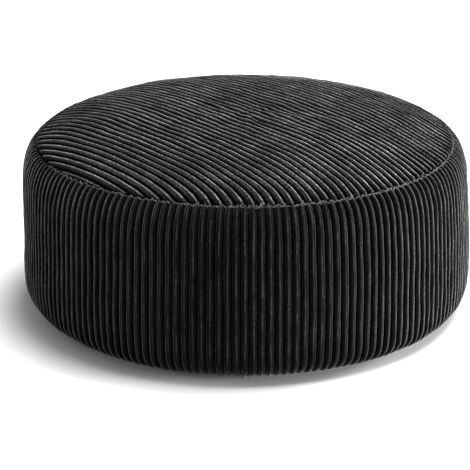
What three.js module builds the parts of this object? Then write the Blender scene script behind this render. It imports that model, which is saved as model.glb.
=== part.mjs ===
// A giant round bean bag, a floor pouf in wide wale corduroy, filled to a firm low drum.
// Units are millimetres and +Z is up. The origin is the middle of the base, on the floor.
// The front of the bag faces -Y.
//
// The cover is three sewn panels, and each one is a solid with its share of the filled form:
// a round top panel with straight ribs, a side band with upright ribs, and a plain round base panel.

import * as THREE from "three";

// The meridian is the line over the cloth from the middle of the top to the middle of the base.
// It is a chain of arcs that run smoothly into each other. Each row gives an arc's length along
// the cloth in millimetres and how many degrees it turns down.
const TOP_PANEL_ARCS = [
  { name: "crown middle", length: 183, turn: 1.5 },
  { name: "crown fall", length: 108, turn: 5.5 },
  { name: "crown outer", length: 105, turn: 10 },
  { name: "crown edge", length: 51, turn: 6 },
  { name: "crown lip", length: 10, turn: 2 },
];
const SIDE_BAND_ARCS = [
  { name: "band lip", length: 12, turn: 12 },
  { name: "shoulder", length: 30, turn: 29 },
  { name: "lower shoulder", length: 48, turn: 19 },
  { name: "side", length: 189, turn: 4.5 },
  { name: "lower side", length: 60, turn: 6 },
  { name: "foot turn", length: 37, turn: 42 },
  { name: "foot curl", length: 40, turn: 28.5 },
];
const BASE_PANEL_ARCS = [{ name: "base rim", length: 32, turn: 14 }];

// Ribs of the corduroy.
const RIB_DEPTH = 5.2;
const SIDE_RIB_COUNT = 178;
const SIDE_FIRST_GROOVE = -158.25; // degrees anticlockwise from +X
const TOP_RIB_COUNT = 54;
const TOP_RIB_PITCH = 16.4;
const TOP_RIB_BEARING = 130; // degrees anticlockwise from +X, the way the top ribs run

// Across one rib the cloth goes through these points, at a share of the rib's width.
const RIB_SECTION = [
  { across: 0, inset: RIB_DEPTH },
  { across: 1 / 3, inset: 0 },
  { across: 2 / 3, inset: 0 },
];

// Along a top rib's line, points stand at these shares of the way from its middle to its lip.
const TOP_STATIONS = [0.2, 0.55, 0.76, 0.9, 1];

// Seams: how far the stitches draw the cloth in, and the gap that parts the panels.
const TOP_SEAM_DRAW_IN = 6;
const BASE_SEAM_DRAW_IN = 2;
const PANEL_GAP = 0.3;

// Fineness of the faces.
const MOST_TURN_PER_BAND = 22; // degrees
const BASE_SEGMENTS = 96;

const MERIDIAN = chainOf([...TOP_PANEL_ARCS, ...SIDE_BAND_ARCS, ...BASE_PANEL_ARCS]);
const TOP_SEAM = lengthOf(TOP_PANEL_ARCS);
const BASE_SEAM = TOP_SEAM + lengthOf(SIDE_BAND_ARCS);
const BASE_FLAT = BASE_SEAM + lengthOf(BASE_PANEL_ARCS);
const TOP_LIP = TOP_PANEL_ARCS.at(-1).length;

function radians(degrees) {
  return THREE.MathUtils.degToRad(degrees);
}

function lengthOf(arcs) {
  return arcs.reduce((sum, arc) => sum + arc.length, 0);
}

// Gives each arc the place, radius, drop and tilt at which it starts.
function chainOf(arcs) {
  const chain = [];
  let start = { along: 0, radius: 0, drop: 0, tilt: 0 };
  for (const { length, turn } of arcs) {
    const arc = { ...start, length, turn: radians(turn) };
    chain.push(arc);
    const end = pointOnArc(arc, length);
    start = { along: arc.along + length, ...end };
  }
  return { chain, height: start.drop };
}

// The point at a distance from an arc's start, on a circle of radius length / turn.
function pointOnArc(arc, distance) {
  const bend = arc.length / arc.turn;
  const tilt = arc.tilt + distance / bend;
  return {
    radius: arc.radius + bend * (Math.sin(tilt) - Math.sin(arc.tilt)),
    drop: arc.drop + bend * (Math.cos(arc.tilt) - Math.cos(tilt)),
    tilt,
  };
}

// The cloth's point at a distance along the meridian, set in from it along the normal.
function clothAt(along, inset = 0) {
  const arc = MERIDIAN.chain.findLast((each) => each.along <= along) ?? MERIDIAN.chain[0];
  const { radius, drop, tilt } = pointOnArc(arc, along - arc.along);
  return {
    radius: radius - inset * Math.sin(tilt),
    height: MERIDIAN.height - drop - inset * Math.cos(tilt),
  };
}

// Points and faces of one closed body, gathered as it is worked out.
class Body {
  constructor() {
    this.points = [];
    this.faces = [];
  }

  point(x, y, z) {
    this.points.push(x, y, z);
    return this.points.length / 3 - 1;
  }

  turned(radius, angle, height) {
    return this.point(radius * Math.cos(angle), radius * Math.sin(angle), height);
  }

  triangle(a, b, c) {
    this.faces.push(a, b, c);
  }

  // Four corners, anticlockwise seen from outside.
  quad(a, b, c, d) {
    this.triangle(a, b, c);
    this.triangle(a, c, d);
  }

  geometry() {
    const made = new THREE.BufferGeometry();
    made.setAttribute("position", new THREE.Float32BufferAttribute(this.points, 3));
    made.setIndex(this.faces);
    return made;
  }
}

// The top panel: a flat disc of cloth laid over the crown. A place on the disc keeps its bearing
// and its distance from the middle, measured over the crown, so straight ribs bend only as the
// cloth does. The ribs end in the seam, and a bare strip is left beside the first and last rib.
function topPanelGeometry() {
  const body = new Body();
  const bearing = radians(TOP_RIB_BEARING);
  const seam = clothAt(TOP_SEAM, TOP_SEAM_DRAW_IN);
  const undersideHeight = seam.height + PANEL_GAP / 2;

  const onSeam = (angle) => body.turned(seam.radius, angle, undersideHeight);
  const onCloth = (u, v, inset) => {
    const { radius, height } = clothAt(Math.hypot(u, v), inset);
    return body.turned(radius, bearing + Math.atan2(v, u), height);
  };

  // One line of the pattern at v from the middle: its ends on the seam, the rest on the cloth.
  const lineAt = (v, inset) => {
    const halfLip = Math.sqrt((TOP_SEAM - TOP_LIP) ** 2 - v ** 2);
    const halfSeam = Math.sqrt(TOP_SEAM ** 2 - v ** 2);
    const shares = [...TOP_STATIONS.map((share) => -share).reverse(), ...TOP_STATIONS];
    return [
      onSeam(bearing + Math.atan2(v, -halfSeam)),
      ...shares.map((share) => onCloth(share * halfLip, v, inset)),
      onSeam(bearing + Math.atan2(v, halfSeam)),
    ];
  };

  const halfWidth = (TOP_RIB_COUNT * TOP_RIB_PITCH) / 2;
  const lines = [];
  for (let rib = 0; rib < TOP_RIB_COUNT; rib++) {
    for (const { across, inset } of RIB_SECTION) {
      lines.push(lineAt((rib + across) * TOP_RIB_PITCH - halfWidth, inset));
    }
  }
  lines.push(lineAt(halfWidth, RIB_DEPTH));

  const last = lines[0].length - 1;
  for (let i = 0; i + 1 < lines.length; i++) {
    const [near, far] = [lines[i], lines[i + 1]];
    for (let j = 0; j < last; j++) {
      body.quad(near[j], near[j + 1], far[j + 1], far[j]);
    }
    body.quad(near[0], far[0], far[last], near[last]);
  }

  // The bare strip between an outermost line and the arc of the seam beside it.
  const strip = (line, side) => {
    const v = side * halfWidth;
    const halfSeam = Math.sqrt(TOP_SEAM ** 2 - v ** 2);
    const middle = (side * Math.PI) / 2;
    const reach = side * Math.atan2(halfSeam, side * v);
    const arc = line.map((end, k) => {
      const angle = bearing + middle + reach * (1 - (2 * k) / last);
      return k === 0 || k === last ? end : onSeam(angle);
    });
    const face = (a, b, c) => (side > 0 ? body.triangle(a, b, c) : body.triangle(a, c, b));
    for (let k = 0; k < last; k++) {
      if (k > 0) face(line[k], arc[k + 1], arc[k]);
      if (k < last - 1) face(line[k], line[k + 1], arc[k + 1]);
      if (k > 0) face(arc[0], arc[k], arc[k + 1]);
    }
  };
  strip(lines[0], -1);
  strip(lines.at(-1), 1);
  return body.geometry();
}

// Distances along the meridian at which the side band has a row of points between its seams.
function sideBandRows() {
  const rows = [];
  let along = TOP_SEAM;
  for (const { length, turn } of SIDE_BAND_ARCS) {
    const bands = Math.ceil(turn / MOST_TURN_PER_BAND);
    for (let k = 1; k <= bands; k++) {
      rows.push(along + (length * k) / bands);
    }
    along += length;
  }
  return rows.slice(0, -1);
}

// The side band: the drum of the bag with its upright ribs. They run over the shoulder and under
// the foot, and each one is gathered to nothing where it meets a seam.
function sideBandGeometry() {
  const body = new Body();
  const first = radians(SIDE_FIRST_GROOVE);
  const pitch = (2 * Math.PI) / SIDE_RIB_COUNT;
  const ribs = Array.from({ length: SIDE_RIB_COUNT }, (_, rib) => rib);
  const next = (rib) => (rib + 1) % SIDE_RIB_COUNT;

  const seamRow = ({ radius }, height) =>
    ribs.map((rib) => body.turned(radius, first + rib * pitch, height));
  const ribRow = (along) =>
    ribs.map((rib) =>
      RIB_SECTION.map(({ across, inset }) => {
        const { radius, height } = clothAt(along, inset);
        return body.turned(radius, first + (rib + across) * pitch, height);
      }),
    );

  const topSeam = clothAt(TOP_SEAM, TOP_SEAM_DRAW_IN);
  const baseSeam = clothAt(BASE_SEAM, BASE_SEAM_DRAW_IN);
  const topHeight = topSeam.height - PANEL_GAP / 2;
  const baseHeight = baseSeam.height + PANEL_GAP / 2;
  const upper = seamRow(topSeam, topHeight);
  const rows = sideBandRows().map(ribRow);
  const lower = seamRow(baseSeam, baseHeight);

  for (let k = 0; k + 1 < rows.length; k++) {
    const [above, below] = [rows[k].flat(), rows[k + 1].flat()];
    above.forEach((corner, i) => {
      const j = (i + 1) % above.length;
      body.quad(corner, below[i], below[j], above[j]);
    });
  }

  const topMiddle = body.point(0, 0, topHeight);
  const baseMiddle = body.point(0, 0, baseHeight);
  const high = rows[0];
  const low = rows.at(-1);
  for (const rib of ribs) {
    const after = next(rib);
    const [groove, crestA, crestB] = high[rib];
    body.triangle(upper[rib], groove, crestA);
    body.quad(upper[rib], crestA, crestB, upper[after]);
    body.triangle(upper[after], crestB, high[after][0]);
    body.triangle(topMiddle, upper[rib], upper[after]);

    const [footGroove, footA, footB] = low[rib];
    body.triangle(footGroove, lower[rib], footA);
    body.quad(footA, lower[rib], lower[after], footB);
    body.triangle(footB, lower[after], low[after][0]);
    body.triangle(baseMiddle, lower[after], lower[rib]);
  }
  return body.geometry();
}

// The base panel: a plain disc whose rim curls up from the floor to the base seam.
function basePanelGeometry() {
  const seam = clothAt(BASE_SEAM, BASE_SEAM_DRAW_IN);
  const rimMiddle = clothAt((BASE_SEAM + BASE_FLAT) / 2);
  const top = seam.height - PANEL_GAP / 2;
  const profile = [
    new THREE.Vector2(0, 0),
    new THREE.Vector2(clothAt(BASE_FLAT).radius, 0),
    new THREE.Vector2(rimMiddle.radius, rimMiddle.height),
    new THREE.Vector2(seam.radius, top),
    new THREE.Vector2(0, top),
  ];
  return new THREE.LatheGeometry(profile, BASE_SEGMENTS).rotateX(Math.PI / 2);
}

function corduroy(colour, roughness) {
  return new THREE.MeshStandardMaterial({ color: colour, roughness, metalness: 0 });
}

function panel(name, geometry, material) {
  const mesh = new THREE.Mesh(geometry, material);
  mesh.name = name;
  return mesh;
}

const beanBag = new THREE.Group();
beanBag.name = "giant_bean_bag";
beanBag.add(
  panel("top_panel", topPanelGeometry(), corduroy(0x2a2a2c, 0.92)),
  panel("side_band", sideBandGeometry(), corduroy(0x1e1e20, 0.94)),
  panel("base_panel", basePanelGeometry(), corduroy(0x18181a, 0.96)),
);

export default beanBag;
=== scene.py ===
"""Looks of a giant round floor bean bag in black wide wale corduroy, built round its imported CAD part."""

import logging
import math
from dataclasses import dataclass, replace
from enum import Enum
from typing import Dict, List, Optional, Sequence, Tuple, Union

import bpy
import numpy as np
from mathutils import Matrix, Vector


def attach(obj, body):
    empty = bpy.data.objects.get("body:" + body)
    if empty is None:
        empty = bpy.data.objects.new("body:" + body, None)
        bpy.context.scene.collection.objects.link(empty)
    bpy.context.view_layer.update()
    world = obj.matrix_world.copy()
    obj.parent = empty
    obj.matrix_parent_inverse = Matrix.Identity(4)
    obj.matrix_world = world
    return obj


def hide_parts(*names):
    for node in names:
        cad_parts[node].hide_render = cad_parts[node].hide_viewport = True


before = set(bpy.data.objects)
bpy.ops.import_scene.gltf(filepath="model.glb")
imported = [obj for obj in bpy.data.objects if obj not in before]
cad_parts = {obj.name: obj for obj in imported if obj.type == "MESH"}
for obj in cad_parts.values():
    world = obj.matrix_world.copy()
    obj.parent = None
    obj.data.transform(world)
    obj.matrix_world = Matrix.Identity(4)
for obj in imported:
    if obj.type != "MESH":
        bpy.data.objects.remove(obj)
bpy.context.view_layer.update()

log = logging.getLogger("bean_bag")

Point = Tuple[float, float, float]
Colour = Tuple[float, float, float]
Socket = bpy.types.NodeSocket
Grey = Union[Socket, float]
Value = Union[Socket, float, Sequence[float]]

# Sizes and counts that several pieces share

MM = 0.001
HALF_WIDTH = 0.5
GIRTH = 2 * math.pi * HALF_WIDTH
TOP_SEAM = 457 * MM
TOP_CORDS = 54
TOP_PITCH = 16.4 * MM
SIDE_CORDS = 178
SIDE_PITCH = 17.6 * MM
FIRST_GROOVE = math.radians(-158.25)


class Slot(Enum):
    """The record's material slots."""

    TOP = "top_cord"
    SIDE = "side_cord"
    BASE = "base_cloth"


# Meshes


@dataclass(frozen=True)
class Sheet:
    """A quad lattice of points, with the cloth coordinates of its corners.

    Attributes:
        points: positions, rows x columns x 3, in metres.
        across: cloth coordinate across the ribs for each column, one more than the columns if wrapped.
        along: cloth coordinate along the ribs, rows x columns (with the extra column if wrapped).
        wrapped: whether the last column joins the first.
        kinds: the number of each face's finish, row by row, or None for the first finish.
    """

    points: np.ndarray
    across: np.ndarray
    along: np.ndarray
    wrapped: bool
    kinds: Optional[np.ndarray] = None

    def quads(self) -> Tuple[np.ndarray, np.ndarray]:
        """Corner numbers of the faces, and of the cloth coordinates.

        Returns:
            Vertex numbers and coordinate numbers, each faces x 4. The faces point along the cross
            product of the way of the columns and the way of the rows.
        """
        rows, columns = self.points.shape[:2]
        spans = columns if self.wrapped else columns - 1
        r, c = np.meshgrid(np.arange(rows - 1), np.arange(spans), indexing="ij")
        found = []
        for near, far, wide in ((c, (c + 1) % columns, columns), (c, c + 1, self.along.shape[1])):
            upper, lower = r * wide, (r + 1) * wide
            loop = np.stack([upper + near, upper + far, lower + far, lower + near], -1)
            found.append(loop.reshape(-1, 4))
        return found[0], found[1]


class MeshMaker:
    """Gathers lattices, fans and loose shapes into one mesh object."""

    def __init__(self, name: str) -> None:
        """Starts an empty piece.

        Args:
            name: what the piece is called.
        """
        self.name = name
        self.points: List[np.ndarray] = []
        self.faces: List[np.ndarray] = []
        self.coords: List[np.ndarray] = []
        self.kinds: List[np.ndarray] = []
        self.total = 0

    def add_points(self, points: np.ndarray) -> int:
        """Adds points, n x 3. Returns the number of the first."""
        self.points.append(points)
        self.total += len(points)
        return self.total - len(points)

    def knit(self, faces: np.ndarray, coords: np.ndarray, kinds: Optional[np.ndarray] = None) -> None:
        """Adds faces between points that are already there.

        Args:
            faces: numbers of the corner points, faces x corners.
            coords: cloth coordinates of the corners, faces x corners x 2.
            kinds: the number of each face's finish, or None for the first.
        """
        self.faces.append(faces)
        self.coords.append(coords)
        self.kinds.append(np.zeros(len(faces), int) if kinds is None else kinds)

    def add_sheet(self, sheet: Sheet, flip: bool = False) -> int:
        """Adds a lattice.

        Args:
            sheet: the lattice.
            flip: whether its faces turn the other way.

        Returns:
            The number of its first point.
        """
        vertex, corner = sheet.quads()
        grid = np.stack(np.broadcast_arrays(sheet.across[None, :], sheet.along), -1).reshape(-1, 2)
        if flip:
            vertex, corner = vertex[:, ::-1], corner[:, ::-1]
        first = self.add_points(sheet.points.reshape(-1, 3))
        self.knit(vertex + first, grid[corner], None if sheet.kinds is None else sheet.kinds.ravel())
        return first

    def fan(self, line: np.ndarray, pole: np.ndarray, coords: np.ndarray, closed: bool = True,
            flip: bool = False) -> int:
        """Joins a line of points already added to a new point, the pole, with triangles.

        Args:
            line: numbers of the line's points in order.
            pole: position of the new point.
            coords: cloth coordinates of the line's points and, last, of the pole.
            closed: whether the line's last point joins its first.
            flip: whether the triangles turn the other way.

        Returns:
            The pole's number.
        """
        count = len(line)
        here = np.arange(count if closed else count - 1)
        after = (here + 1) % count
        first, second = (after, here) if flip else (here, after)
        number = self.add_points(pole.reshape(1, 3))
        faces = np.stack([line[first], line[second], np.full(len(here), number)], -1)
        corner = np.stack([first, second, np.full(len(here), count)], -1)
        self.knit(faces, coords[corner])
        return number

    def add_round(self, sheet: Sheet, upper: float, lower: float) -> None:
        """Starts the piece with a lattice that goes round the upright axis, and closes both its ends.

        Args:
            sheet: the lattice, with its first row on top.
            upper: height of the pole that its first row is joined to.
            lower: height of the pole that its last row is joined to.
        """
        self.add_sheet(sheet, flip=True)
        rows, columns = sheet.points.shape[:2]
        coords = np.zeros((columns + 1, 2))
        loop = np.arange(columns)
        self.fan(loop, np.array([0, 0, upper]), coords)
        self.fan(loop + (rows - 1) * columns, np.array([0, 0, lower]), coords, flip=True)

    def mesh(self) -> bpy.types.Mesh:
        """Puts the points and faces into a new mesh. Returns it."""
        faces = [face for group in self.faces for face in group.tolist()]
        made = bpy.data.meshes.new(self.name)
        made.from_pydata(np.concatenate(self.points).tolist(), [], faces)
        return made

    def build(self, materials: Sequence[bpy.types.Material], slot: Slot) -> bpy.types.Object:
        """Makes the object and hangs it on the bag's body.

        Args:
            materials: its finishes, in the order of their numbers.
            slot: the record's slot; not used.

        Returns:
            The new object, at the origin.
        """
        mesh = self.mesh()
        mesh.polygons.foreach_set("use_smooth", np.ones(len(mesh.polygons), bool))
        layer = mesh.uv_layers.new(name="cloth")
        flat = np.concatenate([c.reshape(-1, 2) for c in self.coords])
        layer.data.foreach_set("uv", flat.astype(np.float32).ravel())
        for material in materials:
            mesh.materials.append(material)
        mesh.polygons.foreach_set("material_index", np.concatenate(self.kinds).astype(np.int32))
        mesh.validate()
        made = bpy.data.objects.new(self.name, mesh)
        bpy.context.scene.collection.objects.link(made)
        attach(made, "root")
        log.info("%s: %d points, %d faces", self.name, len(mesh.vertices), len(mesh.polygons))
        return made


# The bag's form


@dataclass(frozen=True)
class Drift:
    """A smooth seeded unevenness over a strip of cloth.

    The value at a place is the sum of many plane waves of random direction and phase, scaled to a
    standard deviation of one.

    Attributes:
        seed: start of the random draws.
        across: usual wavelength across, in metres.
        along: usual wavelength along, in metres.
        round: length after which it repeats across, or 0.
        waves: how many waves are summed.
    """

    seed: int
    across: float
    along: float
    round: float = 0.0
    waves: int = 32

    def at(self, x: np.ndarray, y: np.ndarray) -> np.ndarray:
        """The unevenness at places on the cloth.

        Args:
            x: places across, in metres.
            y: places along, in metres.

        Returns:
            The scaled sum of the waves at each place.
        """
        rng = np.random.default_rng(self.seed)
        kx = rng.normal(0, 1 / self.across, self.waves)
        ky = rng.normal(0, 1 / self.along, self.waves)
        phase = rng.uniform(0, 2 * math.pi, self.waves)
        if self.round:
            kx = np.round(kx * self.round) / self.round
        x, y = np.broadcast_arrays(x, y)
        total = np.zeros(x.shape)
        for a, b, c in zip(kx, ky, phase):
            total += np.cos(2 * math.pi * (a * x + b * y) + c)
        return total * math.sqrt(2 / self.waves)


def outward(tilt: np.ndarray, azimuth: np.ndarray) -> np.ndarray:
    """Unit vectors that lean out from straight up by the tilt: (sin t cos a, sin t sin a, cos t)."""
    out = np.sin(tilt)
    return np.stack(np.broadcast_arrays(out * np.cos(azimuth), out * np.sin(azimuth), np.cos(tilt)), -1)


def turn_from(centre: float, azimuth: np.ndarray) -> np.ndarray:
    """Angle to an azimuth from a centre in degrees, between minus half a turn and half a turn."""
    return (azimuth - math.radians(centre) + math.pi) % (2 * math.pi) - math.pi


@dataclass(frozen=True)
class Outline:
    """The curve from the middle of the top down to the flat base, as a chain of tangent arcs.

    Attributes:
        arcs: each arc's length in millimetres and turn in degrees: those of the top panel, then
            those of the side, then the rim of the base.
        top_seam: distance of the top seam from the middle of the top, along the curve.
        base_seam: distance of the base seam.
        flat_edge: distance of the edge of the flat base.
    """

    arcs: Tuple[Tuple[float, float], ...] = (
        (183, 1.5), (108, 5.5), (105, 10), (51, 6), (10, 2),
        (12, 12), (30, 29), (48, 19), (189, 4.5), (60, 6), (37, 42), (40, 28.5),
        (32, 14),
    )
    top_seam: float = TOP_SEAM
    base_seam: float = 873 * MM
    flat_edge: float = 905 * MM

    def table(self) -> Tuple[np.ndarray, ...]:
        """Works out where each arc starts.

        Returns:
            Distance, tilt, radius and drop at the start of each arc, with a last row for the end,
            and the bend radius of each arc.
        """
        length = np.array([a[0] for a in self.arcs]) * MM
        turn = np.radians([a[1] for a in self.arcs])
        bend = length / turn
        tilt = np.concatenate([[0], np.cumsum(turn)])
        start = np.concatenate([[0], np.cumsum(length)])
        radius = np.concatenate([[0], np.cumsum(bend * np.diff(np.sin(tilt)))])
        drop = np.concatenate([[0], np.cumsum(-bend * np.diff(np.cos(tilt)))])
        return start, tilt, radius, drop, bend

    def at(self, along: np.ndarray) -> Tuple[np.ndarray, np.ndarray, np.ndarray]:
        """Follows the curve down.

        On an arc of bend radius b that starts at tilt t0, the radius grows by b (sin t - sin t0) and
        the height falls by b (cos t0 - cos t).

        Args:
            along: distances from the middle of the top.

        Returns:
            Radius, height and tilt at those distances.
        """
        start, tilt, radius, drop, bend = self.table()
        i = np.clip(np.searchsorted(start, along, "right") - 1, 0, len(bend) - 1)
        t = np.minimum(tilt[i] + (along - start[i]) / bend[i], tilt[-1])
        r = radius[i] + bend[i] * (np.sin(t) - np.sin(tilt[i]))
        z = drop[-1] - drop[i] - bend[i] * (np.cos(tilt[i]) - np.cos(t))
        return r, z, t

    def place(self, along: np.ndarray, azimuth: np.ndarray, lift: np.ndarray) -> np.ndarray:
        """Points above the curve, along its outward normal.

        Args:
            along: distances from the middle of the top.
            azimuth: angles round the bag.
            lift: heights above the curve.

        Returns:
            Positions, with a last axis of three.
        """
        r, z, t = self.at(along)
        reach = r + lift * np.sin(t)
        return np.stack([reach * np.cos(azimuth), reach * np.sin(azimuth), z + lift * np.cos(t)], -1)


@dataclass(frozen=True)
class Bulge:
    """A soft fullness or hollow of the stuffing: a lift times a bell curve over azimuth and distance.

    Attributes:
        azimuth: its middle, in degrees.
        along: distance of its middle down the outline.
        wide: how wide the bell curve is, in degrees.
        long: how long it is, down the outline.
        lift: how high it is in the middle.
    """

    azimuth: float
    along: float
    wide: float
    long: float
    lift: float

    def at(self, azimuth: np.ndarray, along: np.ndarray) -> np.ndarray:
        """The lift at an azimuth and a distance down the outline."""
        turn = turn_from(self.azimuth, azimuth) / math.radians(self.wide)
        return self.lift * np.exp(-turn ** 2 - ((along - self.along) / self.long) ** 2)


@dataclass(frozen=True)
class LowSeam:
    """A stretch of the top seam that was sewn low: a depth times a bell curve over azimuth.

    Attributes:
        azimuth: its middle, in degrees.
        depth: how much lower the seam lies there, down the outline.
        wide: how wide the bell curve is, in degrees.
    """

    azimuth: float
    depth: float
    wide: float

    def at(self, azimuth: np.ndarray) -> np.ndarray:
        """How much lower the seam lies at an azimuth."""
        return self.depth * np.exp(-(turn_from(self.azimuth, azimuth) / math.radians(self.wide)) ** 2)


@dataclass(frozen=True)
class Relief:
    """Lifts of the cloth on a lattice of distances down the outline and even steps of azimuth.

    Attributes:
        along: distance down the outline of each row.
        lifts: the lifts, rows x columns.
    """

    along: np.ndarray
    lifts: np.ndarray

    def at(self, azimuth: np.ndarray, along: np.ndarray) -> np.ndarray:
        """Reads the lattice: straight lines both ways, and round again past its last column.

        Args:
            azimuth: angles round the bag.
            along: distances down the outline.

        Returns:
            The lift at each place.
        """
        spokes = self.lifts.shape[1]
        azimuth, along = np.broadcast_arrays(azimuth, along)
        row = np.interp(along, self.along, np.arange(len(self.along), dtype=float))
        column = (azimuth / (2 * math.pi) * spokes) % spokes
        r = np.minimum(row.astype(int), len(self.along) - 2)
        c = column.astype(int) % spokes
        down, over = row - r, column - np.floor(column)
        near = self.lifts[r, c] * (1 - over) + self.lifts[r, (c + 1) % spokes] * over
        far = self.lifts[r + 1, c] * (1 - over) + self.lifts[r + 1, (c + 1) % spokes] * over
        return near * (1 - down) + far * down


@dataclass(frozen=True)
class Body:
    """The filled bag as a whole: its outline, how its seam wanders and how its stuffing swells.

    Attributes:
        outline: its outline when it is even all round.
        dent: usual height of the small dents of the stuffing.
        dents: how they drift over the cloth.
        blend: distance from a seam within which they fade.
        bulges: the wide swellings and hollows.
        low_seams: where the top seam lies low.
        seam_reach: how far from the top seam the cloth still goes down with it.
        relief: unevenness that the blown filling leaves, if it was blown.
    """

    outline: Outline = Outline()
    dent: float = 0.7 * MM
    dents: Drift = Drift(11, 0.45, 0.3, GIRTH)
    blend: float = 45 * MM
    bulges: Tuple[Bulge, ...] = (Bulge(178, 0.47, 55, 0.13, 5 * MM), Bulge(0, 0.6, 50, 0.17, -3 * MM))
    low_seams: Tuple[LowSeam, ...] = (LowSeam(178, 14 * MM, 54), LowSeam(8, 6.3 * MM, 66))
    seam_reach: float = 55 * MM
    relief: Optional[Relief] = None

    def swell(self, azimuth: np.ndarray, along: np.ndarray) -> np.ndarray:
        """Lift of the cloth by the stuffing: the dents, which fade towards both seams, and the rest.

        Args:
            azimuth: angles round the bag.
            along: distances down the outline.

        Returns:
            The lift at each place.
        """
        drift = self.dents.at((azimuth % (2 * math.pi)) * HALF_WIDTH, along)
        edge = np.minimum(np.abs(along - self.outline.top_seam), np.abs(self.outline.base_seam - along))
        fade = np.clip(edge / self.blend, 0, 1)
        lift = self.dent * drift * fade * fade * (3 - 2 * fade)
        for bulge in self.bulges:
            lift = lift + bulge.at(azimuth, along)
        if self.relief is not None:
            lift = lift + self.relief.at(azimuth, along)
        return lift

    def place(self, along: np.ndarray, azimuth: np.ndarray, lift: np.ndarray) -> np.ndarray:
        """Points of the cloth, where the seam wanders and the stuffing lifts.

        The distance down the outline grows by the depth of the low seam at that azimuth, times a bell
        curve round the seam.

        Args:
            along: distances from the middle of the top, on the even bag.
            azimuth: angles round the bag.
            lift: heights above the cloth's own place.

        Returns:
            Positions, with a last axis of three.
        """
        low = sum(seam.at(azimuth) for seam in self.low_seams)
        moved = along + low * np.exp(-((along - self.outline.top_seam) / self.seam_reach) ** 2)
        return self.outline.place(moved, azimuth, lift + self.swell(azimuth, along))


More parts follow.
